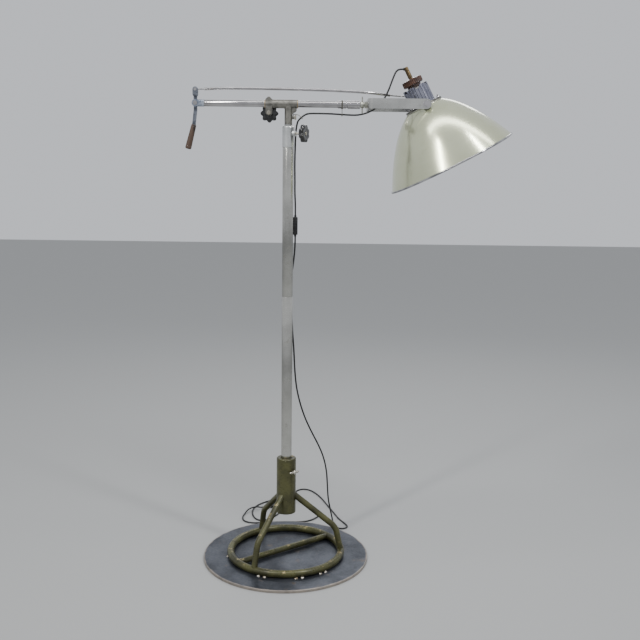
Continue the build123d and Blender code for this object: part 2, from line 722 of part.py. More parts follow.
def neck_casting():
    """A ribbed casting, open at its top, whose top edge is scalloped."""
    casting = local_ring(2.6, CASTING_TOP, CASTING_RADIUS)
    casting -= local_ring(10, CASTING_TOP + 1, 34)
    casting -= local_ring(1, 12, 24)
    flutes, scallops = 24, 6
    for i in range(flutes):
        x, y, _ = polar(CASTING_RADIUS + 0.6, 360 * i / flutes, 0)
        casting -= cylinder((x, y, height(12)), (x, y, height(CASTING_TOP + 1)), 3)
    for i in range(scallops):
        azimuth = 360 * (i + 0.5) / scallops
        z = height(CASTING_TOP + 2)
        casting -= cylinder(polar(20, azimuth, z), polar(60, azimuth, z), 11)
    return on_head(casting.solid())


def socket_cap():
    cap = local_ring(CAP_SPAN[0], CAP_SPAN[1], CAP_RADIUS)
    cap = fillet(cap.edges().filter_by(GeomType.CIRCLE), 2.5)
    cap += local_ring(CAP_SPAN[0] - 9, CAP_SPAN[0] + 2, 24)
    cap -= local_ring(CAP_SPAN[0] - 10, CAP_SPAN[0] + 6, 20.6)
    return on_head(cap - local_ring(CAP_SPAN[0] - 10, CAP_SPAN[1] + 1, STEM_RADIUS + FIXED_GAP))


def cap_stem():
    """A hollow stem with a side hole near its top for the cord."""
    stem = local_ring(CAP_SPAN[1] - 14, STEM_TOP, STEM_RADIUS)
    stem -= local_ring(CAP_SPAN[1] - 15, STEM_TOP - 2, 5)
    return (on_head(stem) - gland_bar(GLAND_BACK + 6, 4.5 + FIXED_GAP)).solid()


def gland_point(back):
    """A point on the cord outlet's axis, at a distance from the stem's axis."""
    centre = HEAD_PLANE.from_local_coords(Vector(0, 0, height(STEM_TOP - 7)))
    return (centre.X - back, 0, centre.Z)


def gland_bar(back, radius):
    return cylinder(gland_point(0), gland_point(back), radius)


def cord_gland():
    return gland_bar(GLAND_BACK + 5, 4.5) - cylinder(gland_point(-1), gland_point(0.6), 5)


def lampholder():
    holder = local_ring(-18, 77, 20)
    holder -= local_ring(-19, 20, 14.2)
    return on_head(holder)


def bulb_cap():
    return on_head(local_ring(-20, 12, 13.4))


def bulb_glass():
    neck, globe, top = 13.2, 30, -112
    middle = top + globe
    outline = Polyline((0, 0, -20.2), (neck, 0, -20.2), (neck + 1, 0, -34))
    side = Spline(
        (neck + 1, 0, -34),
        (globe, 0, middle),
        (0, 0, top),
        tangents=[(0.2, 0, -1), (-1, 0, 0)],
    )
    glass = make_face([*outline.edges(), side, Line((0, 0, top), (0, 0, -20.2))])
    return on_head(Pos(0, 0, -PIVOT_TO_COLLAR) * revolve(glass, Axis.Z))


# Cord, switch and plug

CORD_HEAD_ROUTE = [
    gland_point(GLAND_BACK + 5),
    gland_point(GLAND_BACK + 17.5),
    (362, -1, 1736.3),
    (354, -4, 1718.5),
    (346, -8, 1697),
    (337, -12, 1672),
    (323, -15, 1643),
    (300, -13, 1616),
    (271, -8, 1598.5),
    (241, -3, 1590.5),
    (212, 0, 1589.7),
    ARM_CLIP,
]
CORD_ARM_OUTER_ROUTE = [ARM_CLIP, (152, 0, 1593.3), (121, 0, 1594), CORD_MIDDLE]
CORD_ARM_INNER_ROUTE = [CORD_MIDDLE, (73, 0, 1594), (57, -1, 1590.5), TEE_CLIP]
CORD_POST_ROUTE = [
    TEE_CLIP,
    (32.95, 0.85, 1571.075),
    (28, 5, 1552),
    (25, 10, 1528),
    (23.5, 12.5, 1480),
    (22.5, 13, 1425),
    (23.5, 12, 1370),
    (23.5, 14, 1325),
    (SWITCH_X, SWITCH_Y, SWITCH_Z + SWITCH_SIZE[2] / 2 + SWITCH_NECK + 36),
    (SWITCH_X, SWITCH_Y, SWITCH_Z + SWITCH_SIZE[2] / 2 + SWITCH_NECK),
]
CORD_FLOOR_ROUTE = [
    (SWITCH_X, SWITCH_Y, SWITCH_Z - SWITCH_SIZE[2] / 2 - SWITCH_NECK),
    (SWITCH_X, SWITCH_Y, SWITCH_Z - SWITCH_SIZE[2] / 2 - SWITCH_NECK - 38),
    (20, 23, 1082),
    (11, 26, 1030),
    (8.5, 26, 975),
    (14, 22, 905),
    (18, 21, 840),
    (24, 20, 770),
    (27, 24, 700),
    (33, 37, 630),
    (47, 58, 562),
    (66, 88, 497),
    (91, 124, 433),
    (116, 165, 373),
    (136, 207, 312),
    (149, 245, 243),
    (153, 276, 172),
    (157, 304, 105),
    (168, 318, 48),
    (177, 309, FLOOR_Z + 6),
    (182, 284, FLOOR_Z),
    (190, 261, FLOOR_Z),
    (205, 247, FLOOR_Z),
    (227, 251, FLOOR_Z),
    (237, 272, FLOOR_Z),
    (224, 304, FLOOR_Z),
    (203, 345, FLOOR_Z),
    (187, 396, FLOOR_Z),
    (171, 450, FLOOR_Z),
    (153, 505, FLOOR_Z),
    (137, 560, FLOOR_Z),
    (117, 612, FLOOR_Z),
    (94, 655, FLOOR_Z),
    (72, 678, FLOOR_Z),
    (48, 684, FLOOR_Z),
    (27, 671, FLOOR_Z),
    (16, 644, FLOOR_Z),
    (9, 606, FLOOR_Z),
    (1, 560, FLOOR_Z),
    (-9, 513, FLOOR_Z),
    (-21, 466, FLOOR_Z),
    (-36, 420, FLOOR_Z),
    (-54, 376, FLOOR_Z),
    (-79, 337, FLOOR_Z),
    (-108, 318, FLOOR_Z),
    (-134, 331, FLOOR_Z),
    (-150, 371, FLOOR_Z),
    (-156, 414, FLOOR_Z),
    (-152, 453, FLOOR_Z),
    (-138, 488, FLOOR_Z),
    (-113, 519, FLOOR_Z),
    (-78, 547, FLOOR_Z),
    (-22, 563, HUMP_Z),
    (27, 546, HUMP_Z),
    (72, 503, FLOOR_Z),
    (101, 462, FLOOR_Z),
    (121, 428, FLOOR_Z),
    (126, 392, FLOOR_Z),
    (108, 350, FLOOR_Z),
    (75, 317, FLOOR_Z),
    (30, 309, FLOOR_Z),
    (-18, 310, FLOOR_Z),
    (-66, 304, FLOOR_Z),
    (-110, 296, FLOOR_Z),
    (-150, 294, FLOOR_Z),
    (-180, 310, FLOOR_Z),
    (-191, 342, FLOOR_Z),
    (-187, 383, FLOOR_Z),
    (-169, 417, HUMP_Z),
    (-140, 438, HUMP_Z),
    (-120, 449, PLUG_Z),
    (PLUG_ENTRY[0], PLUG_ENTRY[1], PLUG_Z),
]


def cord_head():
    return cord("cord_head", CORD_HEAD_ROUTE)


def cord_arm_outer():
    return cord("cord_arm_outer", CORD_ARM_OUTER_ROUTE)


def cord_arm_inner():
    return cord("cord_arm_inner", CORD_ARM_INNER_ROUTE)


def cord_post():
    return cord("cord_post", CORD_POST_ROUTE)


def cord_floor():
    return cord("cord_floor", CORD_FLOOR_ROUTE)


def switch_body():
    """An in-line switch with a recess for its slider and a short neck at each end."""
    x, y, z = SWITCH_X, SWITCH_Y, SWITCH_Z
    width, depth, length = SWITCH_SIZE
    body = Pos(x, y, z) * Box(width, depth, length)
    body = fillet(body.edges().filter_by(Axis.Z), 4)
    body = fillet(body.edges().group_by(Axis.Z)[-1] + body.edges().group_by(Axis.Z)[0], 2.5)
    for side in (-1, 1):
        end = z + side * length / 2
        body += cylinder((x, y, end - side), (x, y, end + side * SWITCH_NECK), 4.2)
    recess = Box(8, 3, 18)
    return body - Pos(x + SLIDER_OFFSET, y - depth / 2, z) * recess


def switch_slider():
    x, y, z = SWITCH_X, SWITCH_Y, SWITCH_Z
    depth = SWITCH_SIZE[1]
    slider = Pos(x + SLIDER_OFFSET, y - depth / 2 - 0.3, z - 2.6) * Box(7.4, 2.6, 11)
    for i in range(3):
        rib = Pos(x + SLIDER_OFFSET, y - depth / 2 - 1.8, z - 5.1 + 2.5 * i) * Box(6, 1, 1)
        slider += rib
    return slider


def plug_frame():
    """The plug's own frame: +X runs from the cord's entry to the pins."""
    heading = radians(PLUG_HEADING)
    return Plane(
        origin=(PLUG_ENTRY[0], PLUG_ENTRY[1], PLUG_Z),
        x_dir=(cos(heading), sin(heading), 0),
        z_dir=(0, 0, 1),
    )


def plug_body():
    length, width, thickness = PLUG_SIZE
    body = Pos(PLUG_NECK + length / 2, 0, 0) * Box(length, width, thickness)
    body = fillet(body.edges().filter_by(Axis.Z), 9)
    body = fillet(body.edges().group_by(Axis.Z)[-1], 2.5)
    neck = Pos(PLUG_NECK / 2 + 1, 0, 0) * (Rot(0, 90, 0) * Cone(4, 6.2, PLUG_NECK + 2))
    return plug_frame() * (body + neck)


def plug_pins():
    pins = []
    start = PLUG_NECK + PLUG_SIZE[0] + 0.02
    for side in (-1, 1):
        pins.append(plug_frame() * cylinder((start, side * 9.5, 0), (start + 19, side * 9.5, 0), 2.4))
    return group(*pins)


def main():
    os.makedirs("parts", exist_ok=True)
    nodes = {
        "base_plate": base_plate(),
        "base_ring": base_ring(),
        "ring_crossbar": ring_crossbar(),
        "hub_socket": hub_socket(),
        "ring_weld_tacks": ring_weld_tacks(),
        "hub_wing_screw": hub_wing_screw(),
        "mast_lower_tube": mast_lower_tube(),
        "mast_upper_tube": mast_upper_tube(),
        "mast_joiner": mast_joiner(),
        "mast_top_collar": mast_top_collar(),
        "mast_star_knob": mast_star_knob(),
        "inner_post": inner_post(),
        "post_spigot": post_spigot(),
        "post_guide": post_guide(),
        "tee_clamp": tee_clamp(),
        "arm_liner": arm_liner(),
        "arm_clamp_bolt": arm_clamp_bolt(),
        "arm_star_knob": arm_star_knob(),
        "tee_thumb_screw": tee_thumb_screw(),
        "tee_cable_clip": tee_cable_clip(),
        "arm_tube": arm_tube(),
        "arm_end_fork": arm_end_fork(),
        "lever_pivot_bolt": lever_pivot_bolt(),
        "arm_ferrule_inner": arm_ferrule_inner(),
        "arm_ferrule_outer": arm_ferrule_outer(),
        "yoke_stud": yoke_stud(),
        "tommy_nut": tommy_nut(),
        "arm_cable_clip": arm_cable_clip(),
        "tilt_lever": tilt_lever(),
        "lever_grip": lever_grip(),
        "rod_pin": rod_pin(),
        "tilt_rod": tilt_rod(),
        "rod_end_studs": rod_end_studs(),
        "yoke": yoke(),
        "yoke_pivot_bolts": yoke_pivot_bolts(),
        "pivot_bracket": pivot_bracket(),
        "crank_pin": crank_pin(),
        "collar_plate": collar_plate(),
        "shade_wing_nuts": shade_wing_nuts(),
        "shade": shade(),
        "shade_rim": shade_rim(),
        "neck_casting": neck_casting(),
        "socket_cap": socket_cap(),
        "cap_stem": cap_stem(),
        "cord_gland": cord_gland(),
        "lampholder": lampholder(),
        "bulb_cap": bulb_cap(),
        "bulb_glass": bulb_glass(),
        "cord_head": cord_head(),
        "cord_arm_outer": cord_arm_outer(),
        "cord_arm_inner": cord_arm_inner(),
        "cord_post": cord_post(),
        "cord_floor": cord_floor(),
        "switch_body": switch_body(),
        "switch_slider": switch_slider(),
        "plug_body": plug_body(),
        "plug_pins": plug_pins(),
    }
    for name, azimuth in LEG_AZIMUTHS.items():
        nodes[name] = leg(azimuth)
    for name, shape in nodes.items():
        export_step(shape, f"parts/{name}.step")


main()
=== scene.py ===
import json
import math
import random

import bpy
import bmesh
from mathutils import Matrix, Vector, noise


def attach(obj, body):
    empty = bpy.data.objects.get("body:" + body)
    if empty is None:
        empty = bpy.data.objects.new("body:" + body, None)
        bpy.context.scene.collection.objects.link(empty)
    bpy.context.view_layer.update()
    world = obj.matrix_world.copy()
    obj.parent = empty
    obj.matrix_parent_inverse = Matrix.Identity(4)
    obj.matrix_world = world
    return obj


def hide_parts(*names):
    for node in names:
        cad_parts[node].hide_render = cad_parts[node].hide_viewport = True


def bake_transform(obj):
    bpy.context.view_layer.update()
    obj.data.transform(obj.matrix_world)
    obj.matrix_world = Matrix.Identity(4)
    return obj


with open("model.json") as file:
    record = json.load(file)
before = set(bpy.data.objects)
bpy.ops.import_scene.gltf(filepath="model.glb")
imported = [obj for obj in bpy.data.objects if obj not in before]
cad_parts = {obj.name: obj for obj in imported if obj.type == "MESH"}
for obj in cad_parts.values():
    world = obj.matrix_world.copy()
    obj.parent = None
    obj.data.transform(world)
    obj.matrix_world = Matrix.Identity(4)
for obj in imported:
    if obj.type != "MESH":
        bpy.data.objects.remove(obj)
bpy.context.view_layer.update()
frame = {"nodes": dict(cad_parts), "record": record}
nodes = frame["nodes"]
MM = 0.001

# Sizes shared by several pieces, in millimetres and degrees
ARM_Z = 1624
HEAD_X = 458
HEAD_TILT = 27.5
CORD_RADIUS = 3
PLATE_THICKNESS = 10
PLATE_RADIUS = 300
RING_RADIUS = 202
RING_TUBE_RADIUS = 13
RING_Z = 23.2
WELD_RADIUS = 213
HUB_SCREW_AZIMUTH = -50
HUB_SCREW_Z = 333
MAST_KNOB_AZIMUTH = -25
MAST_KNOB_Z = 1526
MAST_KNOB_REACH = 52
ARM_KNOB_CENTRE = (-66, 0, 1594)
COLLAR_PLANE = -5


# Camera

camera = bpy.data.objects.new("camera", bpy.data.cameras.new("camera"))
bpy.context.scene.collection.objects.link(camera)
camera.data.lens = 50
camera.data.sensor_width = 36
camera.data.clip_end = 60
camera.matrix_world = (
    Matrix.Translation((0.1158, -3.091, 1.409))
    @ Matrix.Rotation(math.radians(80.35), 4, "X")
    @ Matrix.Rotation(math.radians(0.7), 4, "Z")
)
bpy.context.scene.camera = camera


# Materials

def new_material(name, **sockets):
    mat = bpy.data.materials.new(name)
    mat.use_nodes = True
    bsdf = mat.node_tree.nodes["Principled BSDF"]
    for socket, value in sockets.items():
        bsdf.inputs[socket.replace("_", " ")].default_value = value
    return mat


def add_node(mat, kind, inputs=None, **settings):
    """A shader node; inputs are constants or other nodes' outputs, by socket name or number."""
    node = mat.node_tree.nodes.new(kind)
    for key, value in settings.items():
        setattr(node, key, value)
    for key, value in (inputs or {}).items():
        if isinstance(value, bpy.types.NodeSocket):
            mat.node_tree.links.new(value, node.inputs[key])
        else:
            node.inputs[key].default_value = value
    return node


def rgba(color):
    return (*color, 1.0)


def speckle(mat, scale, stretch=(1, 1, 1), detail=4.0, offset=0.0, roughness=0.55):
    """Noise over the object's own space, in metres."""
    coords = add_node(mat, "ShaderNodeTexCoord").outputs["Object"]
    place = add_node(mat, "ShaderNodeMapping", {0: coords, 1: (offset, offset, offset), 3: stretch})
    return add_node(
        mat,
        "ShaderNodeTexNoise",
        {"Vector": place.outputs[0], "Scale": scale, "Detail": detail, "Roughness": roughness},
    ).outputs["Fac"]


def ramp(mat, source, low, high, out_low=0.0, out_high=1.0, smooth=True):
    kind = "SMOOTHSTEP" if smooth else "LINEAR"
    return add_node(
        mat,
        "ShaderNodeMapRange",
        {0: source, 1: low, 2: high, 3: out_low, 4: out_high},
        interpolation_type=kind,
    ).outputs[0]


def blend_colors(mat, factor, a, b):
    node = add_node(mat, "ShaderNodeMix", {0: factor}, data_type="RGBA")
    for index, value in ((6, a), (7, b)):
        if isinstance(value, bpy.types.NodeSocket):
            mat.node_tree.links.new(value, node.inputs[index])
        else:
            node.inputs[index].default_value = rgba(value)
    return node.outputs[2]


def math_node(mat, operation, a, b=0.0):
    return add_node(mat, "ShaderNodeMath", {0: a, 1: b}, operation=operation).outputs[0]


def plug_in(mat, socket, source):
    bsdf = mat.node_tree.nodes["Principled BSDF"]
    mat.node_tree.links.new(source, bsdf.inputs[socket])


def bump(mat, source, strength, distance=0.0004):
    node = add_node(mat, "ShaderNodeBump", {"Strength": strength, "Distance": distance, "Height": source})
    plug_in(mat, "Normal", node.outputs[0])


def metal(name, dark, light, rough=(0.2, 0.35), patches=14, stretch=(1, 1, 1), grain=300,
          bumpiness=0.06, stain=None):
    """Bare or plated metal: tone drifts in patches, fine grain breaks up the gloss, stains dull it."""
    mat = new_material(name, Metallic=1.0)
    tone = ramp(mat, speckle(mat, patches, detail=5), 0.35, 0.65)
    fine = speckle(mat, grain, stretch, detail=3, offset=3.1)
    color = blend_colors(mat, tone, dark, light)
    gloss = ramp(mat, fine, 0.3, 0.7, rough[0], rough[1])
    if stain:
        spots = ramp(mat, speckle(mat, patches * 4, detail=8, offset=7.7, roughness=0.7), 0.56, 0.72)
        color = blend_colors(mat, spots, color, stain)
        gloss = math_node(mat, "ADD", gloss, math_node(mat, "MULTIPLY", spots, 0.22))
    plug_in(mat, "Base Color", color)
    plug_in(mat, "Roughness", gloss)
    bump(mat, fine, bumpiness)
    return mat


def worn_paint(name, paint, dark_paint, bare, wear=0.5, scale=16, upward=0.25, rough=0.42):
    """Old paint over metal: chips and rubbed upper faces show the metal, dirt sits in patches."""
    mat = new_material(name)
    drift = ramp(mat, speckle(mat, scale * 0.6, detail=6), 0.3, 0.7)
    chips = speckle(mat, scale, detail=10, offset=5.3, roughness=0.68)
    scratches = speckle(mat, scale * 3, (1, 1, 4), detail=6, offset=9.1, roughness=0.75)
    normal = add_node(mat, "ShaderNodeNewGeometry").outputs["Normal"]
    up = add_node(mat, "ShaderNodeSeparateXYZ", {0: normal}).outputs[2]
    raised = math_node(mat, "MULTIPLY", ramp(mat, up, 0.2, 1.0), upward)
    amount = math_node(mat, "ADD", chips, raised)
    amount = math_node(mat, "ADD", amount, math_node(mat, "MULTIPLY", scratches, 0.3))
    mask = ramp(mat, amount, wear + 0.24, wear + 0.33)
    painted = blend_colors(mat, drift, dark_paint, paint)
    plug_in(mat, "Base Color", blend_colors(mat, mask, painted, bare))
    plug_in(mat, "Metallic", ramp(mat, mask, 0, 1, 0.25, 1.0, smooth=False))
    plug_in(mat, "Roughness", ramp(mat, scratches, 0.3, 0.7, rough - 0.12, rough + 0.12))
    grooves = math_node(mat, "MULTIPLY", scratches, 0.25)
    height = math_node(mat, "SUBTRACT", grooves, math_node(mat, "MULTIPLY", mask, 0.6))
    bump(mat, height, 0.45, 0.0006)
    return mat


def moulding(name, color, lighter, rough=(0.2, 0.32), coat=0.0, patches=30, grain=500, bumpiness=0.05):
    """Moulded plastic, rubber or Bakelite with slight handling marks."""
    mat = new_material(name, Coat_Weight=coat)
    tone = ramp(mat, speckle(mat, patches, detail=5), 0.4, 0.7)
    fine = speckle(mat, grain, detail=3, offset=2.2)
    plug_in(mat, "Base Color", blend_colors(mat, tone, color, lighter))
    plug_in(mat, "Roughness", ramp(mat, fine, 0.3, 0.7, rough[0], rough[1]))
    bump(mat, fine, bumpiness, 0.0002)
    return mat


mats = {
    "olive_paint": worn_paint(
        "olive_paint", (0.098, 0.097, 0.034), (0.034, 0.033, 0.013), (0.34, 0.285, 0.15), wear=0.545,
        scale=30, upward=0.10, rough=0.34,
    ),
    "weld_metal": metal(
        "weld_metal", (0.3, 0.24, 0.16), (0.72, 0.68, 0.6), (0.2, 0.5), 60, grain=900, bumpiness=0.3,
    ),
    "screw_steel": metal(
        "screw_steel", (0.32, 0.29, 0.22), (0.62, 0.6, 0.54), (0.22, 0.4), 50, grain=700, bumpiness=0.1,
        stain=(0.16, 0.13, 0.09),
    ),
    "mast_satin": metal(
        "mast_satin", (0.42, 0.415, 0.385), (0.55, 0.545, 0.51), (0.16, 0.28), 9, (3, 3, 60), 40, 0.05,
        stain=(0.38, 0.37, 0.33),
    ),
    "collar_metal": metal(
        "collar_metal", (0.60, 0.61, 0.6), (0.72, 0.73, 0.72), (0.3, 0.45), 20, (1, 1, 20), 90, 0.05,
        stain=(0.42, 0.42, 0.4),
    ),
    "inner_steel": metal(
        "inner_steel", (0.42, 0.42, 0.41), (0.62, 0.62, 0.61), (0.2, 0.36), 20, (1, 1, 30), 90, 0.05,
    ),
    "liner_bronze": metal(
        "liner_bronze", (0.35, 0.25, 0.13), (0.55, 0.42, 0.24), (0.26, 0.42), 40, grain=500,
    ),
    "tee_nickel": metal(
        "tee_nickel", (0.16, 0.155, 0.14), (0.29, 0.28, 0.25), (0.34, 0.55), 45, grain=600,
        bumpiness=0.22, stain=(0.07, 0.06, 0.045),
    ),
    "clip_wire": metal("clip_wire", (0.12, 0.115, 0.1), (0.3, 0.29, 0.26), (0.3, 0.5), 50, grain=500),
    "chrome_bright": metal(
        "chrome_bright", (0.38, 0.37, 0.37), (0.54, 0.525, 0.53), (0.05, 0.13), 12, (2, 40, 40), 60,
        0.03, stain=(0.42, 0.38, 0.35),
    ),
    "zinc_blue": metal(
        "zinc_blue", (0.25, 0.29, 0.36), (0.5, 0.55, 0.63), (0.24, 0.4), 60, grain=500, bumpiness=0.12,
        stain=(0.2, 0.2, 0.19),
    ),
    "stud_steel": metal(
        "stud_steel", (0.34, 0.34, 0.28), (0.62, 0.62, 0.55), (0.22, 0.38), 50, grain=600,
        bumpiness=0.1, stain=(0.2, 0.19, 0.14),
    ),
    "lever_steel": metal(
        "lever_steel", (0.09, 0.10, 0.12), (0.26, 0.28, 0.32), (0.26, 0.45), 50, grain=500,
        bumpiness=0.14, stain=(0.08, 0.06, 0.05),
    ),
    "yoke_nickel": metal(
        "yoke_nickel", (0.46, 0.46, 0.44), (0.58, 0.58, 0.555), (0.22, 0.34), 14, (3, 3, 60), 40, 0.03,
        stain=(0.38, 0.375, 0.35),
    ),
    "bracket_dark": metal(
        "bracket_dark", (0.09, 0.09, 0.085), (0.26, 0.25, 0.22), (0.3, 0.5), 50, grain=600,
        bumpiness=0.2, stain=(0.06, 0.05, 0.04),
    ),
    "plate_alu": metal(
        "plate_alu", (0.46, 0.46, 0.42), (0.66, 0.66, 0.6), (0.26, 0.42), 40, grain=500,
        stain=(0.3, 0.29, 0.25),
    ),
    "rim_chrome": metal(
        "rim_chrome", (0.26, 0.26, 0.27), (0.55, 0.55, 0.56), (0.06, 0.14), 20, grain=300,
        stain=(0.3, 0.3, 0.3),
    ),
    "cast_alu": metal(
        "cast_alu", (0.24, 0.245, 0.31), (0.38, 0.385, 0.45), (0.20, 0.34), 24, grain=800,
        bumpiness=0.08, stain=(0.17, 0.17, 0.21),
    ),
    "stem_brass": metal(
        "stem_brass", (0.12, 0.085, 0.045), (0.22, 0.16, 0.085), (0.3, 0.5), 60, grain=500,
        stain=(0.08, 0.065, 0.04),
    ),
    "bulb_brass": metal("bulb_brass", (0.55, 0.45, 0.25), (0.75, 0.66, 0.42), (0.2, 0.34), 60, grain=500),
    "pin_brass": metal("pin_brass", (0.6, 0.5, 0.28), (0.78, 0.68, 0.42), (0.16, 0.3), 90, grain=700),
    "bakelite_black": moulding(
        "bakelite_black", (0.012, 0.012, 0.013), (0.03, 0.029, 0.028), (0.16, 0.3), coat=0.5,
    ),
    "bakelite_brown": moulding(
        "bakelite_brown", (0.036, 0.013, 0.006), (0.088, 0.036, 0.018), (0.22, 0.36), coat=0.35,
        patches=70,
    ),
    "gland_black": moulding(
        "gland_black", (0.014, 0.014, 0.014), (0.03, 0.03, 0.03), (0.5, 0.65), bumpiness=0.1,
    ),
    "porcelain": moulding("porcelain", (0.72, 0.7, 0.64), (0.82, 0.8, 0.75), (0.12, 0.22), coat=0.6),
    "cord_black": moulding(
        "cord_black", (0.010, 0.010, 0.010), (0.022, 0.022, 0.022), (0.38, 0.55), bumpiness=0.08,
    ),
    "switch_plastic": moulding(
        "switch_plastic", (0.012, 0.012, 0.012), (0.028, 0.028, 0.028), (0.32, 0.46), bumpiness=0.12,
    ),
}


def grip_material():
    """Turned fibre grip: brown with long dark streaks and a rubbed sheen."""
    mat = new_material("grip_fibre", Coat_Weight=0.15)
    streaks = speckle(mat, 45, (1, 1, 0.12), detail=8, roughness=0.7)
    color = blend_colors(mat, ramp(mat, streaks, 0.35, 0.65), (0.022, 0.014, 0.010), (0.085, 0.048, 0.030))
    plug_in(mat, "Base Color", color)
    plug_in(mat, "Roughness", ramp(mat, streaks, 0.3, 0.7, 0.35, 0.55))
    bump(mat, streaks, 0.2, 0.0003)
    return mat


def plate_material():
    """Raw rolled steel: blue-grey scale that clouds, a rubbed brown edge, and fine random scratches."""
    mat = new_material("plate_steel")
    clouds = ramp(mat, speckle(mat, 9, detail=7, roughness=0.62), 0.32, 0.68)
    fine = speckle(mat, 130, detail=6, offset=4.4, roughness=0.7)
    coords = add_node(mat, "ShaderNodeTexCoord").outputs["Object"]
    flat = add_node(mat, "ShaderNodeVectorMath", {0: coords, 1: (1, 1, 0)}, operation="MULTIPLY").outputs[0]
    radius = add_node(mat, "ShaderNodeVectorMath", {0: flat}, operation="LENGTH").outputs["Value"]
    unevenness = math_node(mat, "MULTIPLY", speckle(mat, 30, detail=6, offset=1.7), 0.012)
    ragged = math_node(mat, "ADD", radius, unevenness)
    rubbed = ramp(mat, ragged, 0.299, 0.308)
    color = blend_colors(mat, clouds, (0.043, 0.048, 0.060), (0.108, 0.117, 0.138))
    rust = ramp(mat, speckle(mat, 22, detail=9, offset=8.2, roughness=0.7), 0.58, 0.74)
    color = blend_colors(mat, rust, color, (0.16, 0.13, 0.105))
    plug_in(mat, "Base Color", blend_colors(mat, rubbed, color, (0.42, 0.37, 0.32)))
    plug_in(mat, "Metallic", ramp(mat, rubbed, 0, 1, 0.75, 0.95, smooth=False))
    plug_in(mat, "Roughness", ramp(mat, fine, 0.3, 0.7, 0.30, 0.52))
    bump(mat, fine, 0.18, 0.0004)
    return mat


def lacquer_material():
    """Spun aluminium under a grey-green metallic lacquer, with fine flakes and rubbed scuffs."""
    mat = new_material("shade_lacquer", Metallic=0.72, Coat_Weight=0.4, Coat_Roughness=0.07)
    flakes = speckle(mat, 1400, detail=2, offset=1.3)
    clouds = ramp(mat, speckle(mat, 7, detail=6, roughness=0.6), 0.3, 0.7)
    color = blend_colors(mat, clouds, (0.50, 0.53, 0.34), (0.60, 0.63, 0.43))
    color = blend_colors(mat, ramp(mat, flakes, 0.45, 0.75), color, (0.72, 0.72, 0.62))
    scuffs = ramp(mat, speckle(mat, 60, (1, 3, 1), detail=9, offset=6.1, roughness=0.75), 0.64, 0.76)
    plug_in(mat, "Base Color", blend_colors(mat, scuffs, color, (0.3, 0.3, 0.25)))
    plug_in(mat, "Roughness", ramp(mat, flakes, 0.3, 0.7, 0.14, 0.24))
    bump(mat, flakes, 0.07, 0.0002)
    return mat


def glass_material():
    mat = new_material("bulb_clear", Roughness=0.35, IOR=1.45, Transmission_Weight=0.55)
    haze = speckle(mat, 60, detail=4)
    plug_in(mat, "Base Color", blend_colors(mat, haze, (0.92, 0.92, 0.9), (0.98, 0.98, 0.96)))
    return mat


mats["grip_fibre"] = grip_material()
mats["plate_steel"] = plate_material()
mats["shade_lacquer"] = lacquer_material()
mats["reflector"] = metal(
    "reflector", (0.72, 0.72, 0.7), (0.84, 0.84, 0.82), (0.2, 0.34), 30, grain=300, bumpiness=0.04,
)
mats["bulb_clear"] = glass_material()


# Mesh helpers. Sizes are in millimetres and become metres here.

def finish_mesh(name, mesh, slot, angle=38):
    mesh.materials.append(mats[slot])
    mesh.shade_smooth()
    mesh.set_sharp_from_angle(angle=math.radians(angle))
    obj = bpy.data.objects.new(name, mesh)
    bpy.context.scene.collection.objects.link(obj)
    return obj


def from_rings(name, rings, slot, closed=False, caps=True, angle=38):
    """A skin over rings of points; a ring of one point is a pole."""
    verts, faces, starts = [], [], []
    for ring in rings:
        starts.append(len(verts))
        verts.extend(Vector(p) * MM for p in ring)
    pairs = list(zip(range(len(rings)), range(1, len(rings))))
    if closed:
        pairs.append((len(rings) - 1, 0))
    for i, j in pairs:
        a, b = rings[i], rings[j]
        n = max(len(a), len(b))
        for k in range(n):
            m = (k + 1) % n
            if len(a) == 1:
                faces.append((starts[i], starts[j] + m, starts[j] + k))
            elif len(b) == 1:
                faces.append((starts[i] + k, starts[i] + m, starts[j]))
            else:
                faces.append((starts[i] + k, starts[i] + m, starts[j] + m, starts[j] + k))
    if caps and not closed:
        for i in (0, len(rings) - 1):
            if len(rings[i]) > 1:
                faces.append([starts[i] + k for k in range(len(rings[i]))])
    mesh = bpy.data.meshes.new(name)
    mesh.from_pydata(verts, [], faces)
    work = bmesh.new()
    work.from_mesh(mesh)
    bmesh.ops.recalc_face_normals(work, faces=work.faces)
    work.to_mesh(mesh)
    work.free()
    return finish_mesh(name, mesh, slot, angle)


def lathe(name, profile, place, slot, sides=96, closed=False, angle=38):
    """A turned piece: a (radius, height) outline about a place's +Z."""
    rings = []
    for r, z in profile:
        if r < 1e-6:
            rings.append([place @ Vector((0, 0, z))])
        else:
            turns = [2 * math.pi * k / sides for k in range(sides)]
            rings.append([place @ Vector((r * math.cos(t), r * math.sin(t), z)) for t in turns])
    return from_rings(name, rings, slot, closed, angle=angle)


def rounded(points, size, steps=4):
    """An outline with its inner corners rounded off."""
    out = [points[0]]
    for before, corner, after in zip(points, points[1:], points[2:]):
        b, c, a = Vector(before), Vector(corner), Vector(after)
        cut = min(size, (b - c).length * 0.45, (a - c).length * 0.45)
        start, end = c + (b - c).normalized() * cut, c + (a - c).normalized() * cut
        for i in range(steps + 1):
            t = i / steps
            out.append(tuple((1 - t) ** 2 * start + 2 * t * (1 - t) * c + t * t * end))
    return out + [points[-1]]


